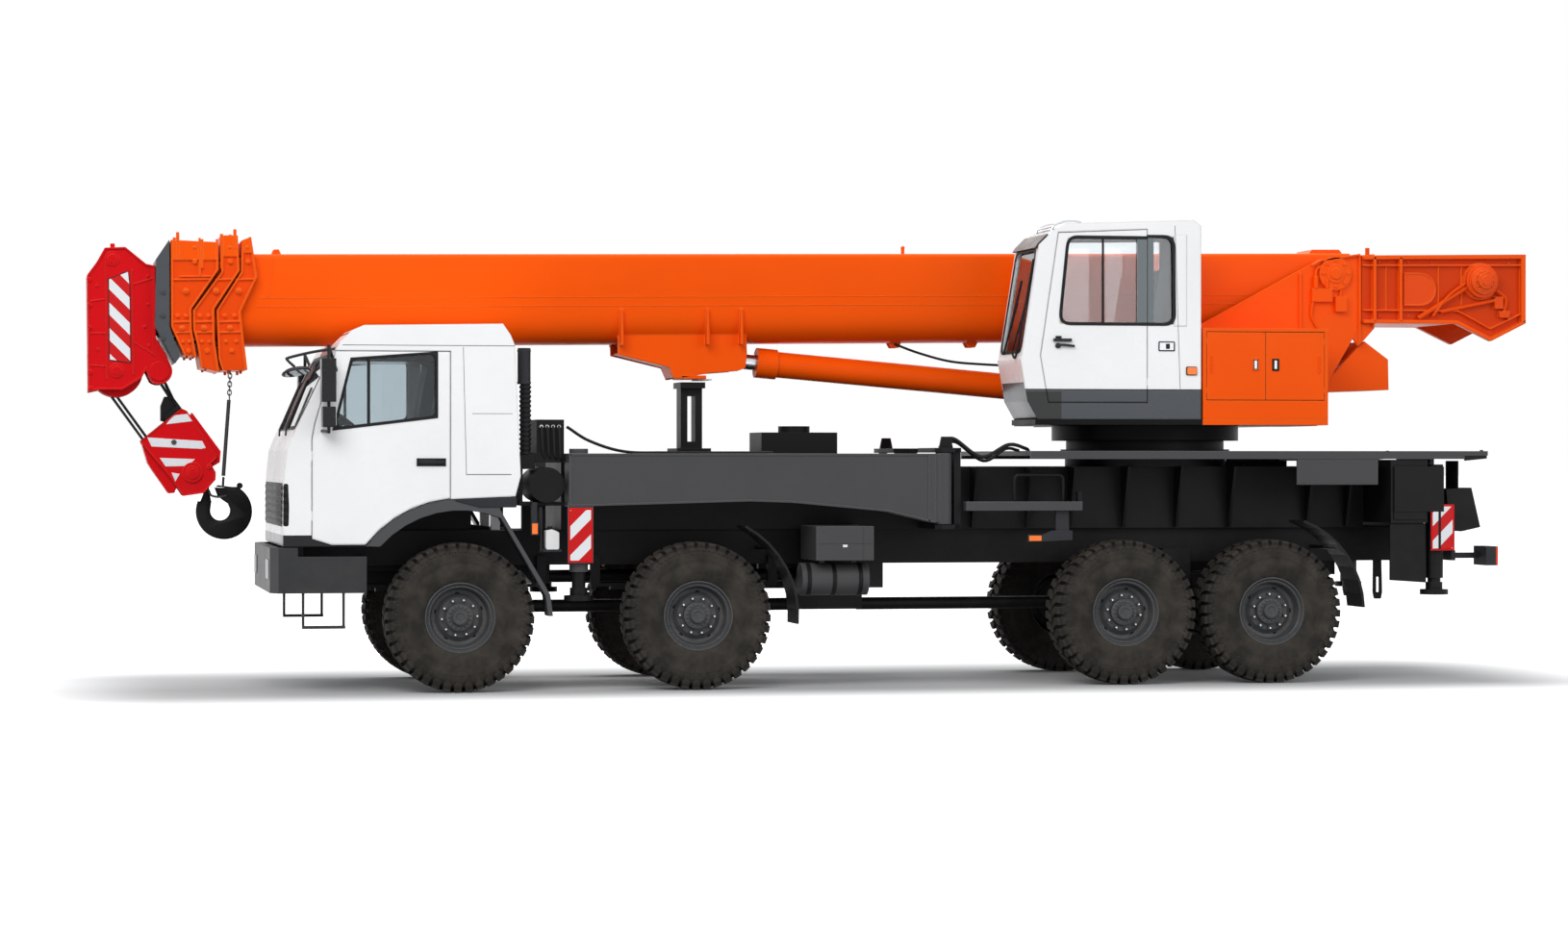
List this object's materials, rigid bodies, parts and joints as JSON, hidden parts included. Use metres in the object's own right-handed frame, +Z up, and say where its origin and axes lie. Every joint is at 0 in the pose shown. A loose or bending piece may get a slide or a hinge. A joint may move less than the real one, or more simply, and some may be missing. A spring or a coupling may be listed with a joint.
{
  "type": "mobile crane",
  "caption": "Cab-over truck crane with telescopic boom, luffing cylinder, slewing operator's cab, swing-out and sliding outriggers, steered axles and hook block.",
  "frame": {"origin": "on the ground under the middle of the whole outline", "axes": "-X to the front of the truck, -Y to the truck's left side with the operator's cab, +Z up"},
  "size_m": [12.8612, 2.98, 4.0498],
  "materials": {
    "cab_white": "gloss",
    "crane_orange": "gloss",
    "signal_red": "gloss",
    "chassis_grey": "satin",
    "chassis_black": "satin",
    "black_plastic": "matte",
    "clear_glass": "gloss",
    "tyre_rubber": "matte",
    "polished_steel": "polished",
    "seat_fabric": "matte",
    "lamp_lens": "gloss"
  },
  "bodies": {
    "carrier": {"chassis_frame": "chassis_black", "crane_subframe": "chassis_grey", "deck": "chassis_grey", "powertrain": "chassis_black", "front_axles": "chassis_black", "rear_axles": "chassis_black", "bumper": "chassis_grey", "cab_shell": "cab_white", "cab_glass": "clear_glass", "cab_interior": "seat_fabric", "mudguards": "black_plastic", "side_tanks": "chassis_grey", "air_intake": "chassis_black", "boom_rest": "chassis_black", "lamps": "lamp_lens", "slew_ring": "chassis_black"},
    "turntable": {"turntable_frame": "crane_orange", "winch_frame": "crane_orange", "counterweight": "crane_orange", "machinery_housing": "crane_orange", "operator_cab": "cab_white", "operator_glass": "clear_glass", "operator_seat": "seat_fabric"},
    "operator_cab_door": {"operator_door": "cab_white", "operator_door_glass": "clear_glass"},
    "machinery_front_door": {"machinery_door_front": "crane_orange"},
    "machinery_rear_door": {"machinery_door_rear": "crane_orange"},
    "winch": {"winch_drum": "crane_orange"},
    "luff_cylinder": {"luff_tube": "crane_orange"},
    "luff_piston": {"luff_rod": "polished_steel"},
    "boom": {"boom_base": "crane_orange"},
    "boom_extension_2": {"boom_section_2": "crane_orange"},
    "boom_extension_3": {"boom_section_3": "crane_orange"},
    "boom_nose": {"boom_head": "signal_red"},
    "hook": {"hook_block": "signal_red"},
    "truck_door_left": {"door_left": "cab_white", "door_glass_left": "clear_glass"},
    "front_outrigger_left": {"swing_beam_left": "chassis_grey"},
    "front_stabilizer_left": {"front_jack_left": "chassis_black"},
    "rear_outrigger_left": {"rear_beam_left": "chassis_grey"},
    "rear_stabilizer_left": {"rear_jack_left": "chassis_black"},
    "road_wheel_1_left": {"wheel_1_left": "tyre_rubber"},
    "steering_knuckle_1_left": {"knuckle_1_left": "chassis_black"},
    "road_wheel_2_left": {"wheel_2_left": "tyre_rubber"},
    "steering_knuckle_2_left": {"knuckle_2_left": "chassis_black"},
    "road_wheel_3_left": {"wheel_3_left": "tyre_rubber"},
    "road_wheel_4_left": {"wheel_4_left": "tyre_rubber"},
    "truck_door_right": {"door_right": "cab_white", "door_glass_right": "clear_glass"},
    "front_outrigger_right": {"swing_beam_right": "chassis_grey"},
    "front_stabilizer_right": {"front_jack_right": "chassis_black"},
    "rear_outrigger_right": {"rear_beam_right": "chassis_grey"},
    "rear_stabilizer_right": {"rear_jack_right": "chassis_black"},
    "road_wheel_1_right": {"wheel_1_right": "tyre_rubber"},
    "steering_knuckle_1_right": {"knuckle_1_right": "chassis_black"},
    "road_wheel_2_right": {"wheel_2_right": "tyre_rubber"},
    "steering_knuckle_2_right": {"knuckle_2_right": "chassis_black"},
    "road_wheel_3_right": {"wheel_3_right": "tyre_rubber"},
    "road_wheel_4_right": {"wheel_4_right": "tyre_rubber"}
  },
  "joints": [
    {"name": "truck_door_left_hinge", "type": "hinge", "parent": "carrier", "child": "truck_door_left", "pos_m": [-4.575, -1.25, 2], "axis": [0, 0, -1], "range_deg": [0, 70]},
    {"name": "front_outrigger_left_swing", "type": "hinge", "parent": "carrier", "child": "front_outrigger_left", "pos_m": [0.84, -1.17, 1.7], "axis": [0, 0, 1], "range_deg": [0, 60]},
    {"name": "front_stabilizer_left_slide", "type": "slide", "parent": "front_outrigger_left", "child": "front_stabilizer_left", "axis": [0, 0, -1], "range_m": [0, 0.74]},
    {"name": "rear_outrigger_left_slide", "type": "slide", "parent": "carrier", "child": "rear_outrigger_left", "axis": [0, -1, 0], "range_m": [0, 1.9]},
    {"name": "rear_stabilizer_left_slide", "type": "slide", "parent": "rear_outrigger_left", "child": "rear_stabilizer_left", "axis": [0, 0, -1], "range_m": [0, 0.74]},
    {"name": "steer_1_left", "type": "hinge", "parent": "carrier", "child": "steering_knuckle_1_left", "pos_m": [-3.341, -0.9, 0.63], "axis": [0, 0, 1], "range_deg": [-30, 30]},
    {"name": "wheel_1_left_spin", "type": "hinge", "parent": "steering_knuckle_1_left", "child": "road_wheel_1_left", "pos_m": [-3.341, -1.04, 0.63], "axis": [0, 1, 0], "continuous": true},
    {"name": "steer_2_left", "type": "hinge", "parent": "carrier", "child": "steering_knuckle_2_left", "pos_m": [-1.311, -0.9, 0.63], "axis": [0, 0, 1], "range_deg": [-21, 21]},
    {"name": "wheel_2_left_spin", "type": "hinge", "parent": "steering_knuckle_2_left", "child": "road_wheel_2_left", "pos_m": [-1.311, -1.04, 0.63], "axis": [0, 1, 0], "continuous": true},
    {"name": "wheel_3_left_spin", "type": "hinge", "parent": "carrier", "child": "road_wheel_3_left", "pos_m": [2.466, -1.04, 0.63], "axis": [0, 1, 0], "continuous": true},
    {"name": "wheel_4_left_spin", "type": "hinge", "parent": "carrier", "child": "road_wheel_4_left", "pos_m": [3.796, -1.04, 0.63], "axis": [0, 1, 0], "continuous": true},
    {"name": "truck_door_right_hinge", "type": "hinge", "parent": "carrier", "child": "truck_door_right", "pos_m": [-4.575, 1.25, 2], "axis": [0, 0, 1], "range_deg": [0, 70]},
    {"name": "front_outrigger_right_swing", "type": "hinge", "parent": "carrier", "child": "front_outrigger_right", "pos_m": [0.84, 1.17, 1.7], "axis": [0, 0, -1], "range_deg": [0, 60]},
    {"name": "front_stabilizer_right_slide", "type": "slide", "parent": "front_outrigger_right", "child": "front_stabilizer_right", "axis": [0, 0, -1], "range_m": [0, 0.74]},
    {"name": "rear_outrigger_right_slide", "type": "slide", "parent": "carrier", "child": "rear_outrigger_right", "axis": [0, 1, 0], "range_m": [0, 1.9]},
    {"name": "rear_stabilizer_right_slide", "type": "slide", "parent": "rear_outrigger_right", "child": "rear_stabilizer_right", "axis": [0, 0, -1], "range_m": [0, 0.74]},
    {"name": "steer_1_right", "type": "hinge", "parent": "carrier", "child": "steering_knuckle_1_right", "pos_m": [-3.341, 0.9, 0.63], "axis": [0, 0, 1], "range_deg": [-30, 30]},
    {"name": "wheel_1_right_spin", "type": "hinge", "parent": "steering_knuckle_1_right", "child": "road_wheel_1_right", "pos_m": [-3.341, 1.04, 0.63], "axis": [0, 1, 0], "continuous": true},
    {"name": "steer_2_right", "type": "hinge", "parent": "carrier", "child": "steering_knuckle_2_right", "pos_m": [-1.311, 0.9, 0.63], "axis": [0, 0, 1], "range_deg": [-21, 21]},
    {"name": "wheel_2_right_spin", "type": "hinge", "parent": "steering_knuckle_2_right", "child": "road_wheel_2_right", "pos_m": [-1.311, 1.04, 0.63], "axis": [0, 1, 0], "continuous": true},
    {"name": "wheel_3_right_spin", "type": "hinge", "parent": "carrier", "child": "road_wheel_3_right", "pos_m": [2.466, 1.04, 0.63], "axis": [0, 1, 0], "continuous": true},
    {"name": "wheel_4_right_spin", "type": "hinge", "parent": "carrier", "child": "road_wheel_4_right", "pos_m": [3.796, 1.04, 0.63], "axis": [0, 1, 0], "continuous": true},
    {"name": "slew", "type": "hinge", "parent": "carrier", "child": "turntable", "pos_m": [3, 0, 2.1], "axis": [0, 0, 1], "continuous": true},
    {"name": "operator_door_hinge", "type": "hinge", "parent": "turntable", "child": "operator_cab_door", "pos_m": [2.645, -1.25, 3.2], "axis": [0, 0, 1], "range_deg": [0, 100]},
    {"name": "machinery_door_front_hinge", "type": "hinge", "parent": "turntable", "child": "machinery_front_door", "pos_m": [3.19, -1.25, 2.78], "axis": [0, 0, -1], "range_deg": [0, 100]},
    {"name": "machinery_door_rear_hinge", "type": "hinge", "parent": "turntable", "child": "machinery_rear_door", "pos_m": [4.263, -1.25, 2.78], "axis": [0, 0, 1], "range_deg": [0, 100]},
    {"name": "winch_turn", "type": "hinge", "parent": "turntable", "child": "winch", "pos_m": [6.016, 0, 3.578], "axis": [0, 1, 0], "continuous": true},
    {"name": "boom_luff", "type": "hinge", "parent": "turntable", "child": "boom", "pos_m": [4.64, 0, 3.635], "axis": [0, 1, 0], "range_deg": [0, 78]},
    {"name": "luff_cylinder_swing", "type": "hinge", "parent": "turntable", "child": "luff_cylinder", "pos_m": [3.6, 0, 2.45], "axis": [0, 1, 0], "range_deg": [0, 77.64]},
    {"name": "luff_rod_slide", "type": "slide", "parent": "luff_cylinder", "child": "luff_piston", "axis": [-0.9961, 0, 0.0878], "range_m": [0, 1.993]},
    {"name": "boom_extend_2", "type": "slide", "parent": "boom", "child": "boom_extension_2", "axis": [-0.9999, 0, -0.0113], "range_m": [0, 7]},
    {"name": "boom_extend_3", "type": "slide", "parent": "boom_extension_2", "child": "boom_extension_3", "axis": [-0.9999, 0, -0.0113], "range_m": [0, 7]},
    {"name": "boom_extend_4", "type": "slide", "parent": "boom_extension_3", "child": "boom_nose", "axis": [-0.9999, 0, -0.0113], "range_m": [0, 7]},
    {"name": "hook_swing", "type": "hinge", "parent": "boom_nose", "child": "hook", "pos_m": [-6.16528, 0, 2.71736], "axis": [0, -1, 0], "range_deg": [-60, 0]}
  ],
  "couplings": [
    {"joint": "steer_2_left", "follows": "steer_1_left", "ratio": 0.7},
    {"joint": "steer_1_right", "follows": "steer_1_left", "ratio": 1},
    {"joint": "steer_2_right", "follows": "steer_1_left", "ratio": 0.7},
    {"joint": "luff_cylinder_swing", "follows": "boom_luff", "ratio": 0.989},
    {"joint": "luff_rod_slide", "follows": "boom_luff", "m_per_rad": 1.4565},
    {"joint": "boom_extend_3", "follows": "boom_extend_2", "ratio": 1},
    {"joint": "boom_extend_4", "follows": "boom_extend_2", "ratio": 1}
  ]
}
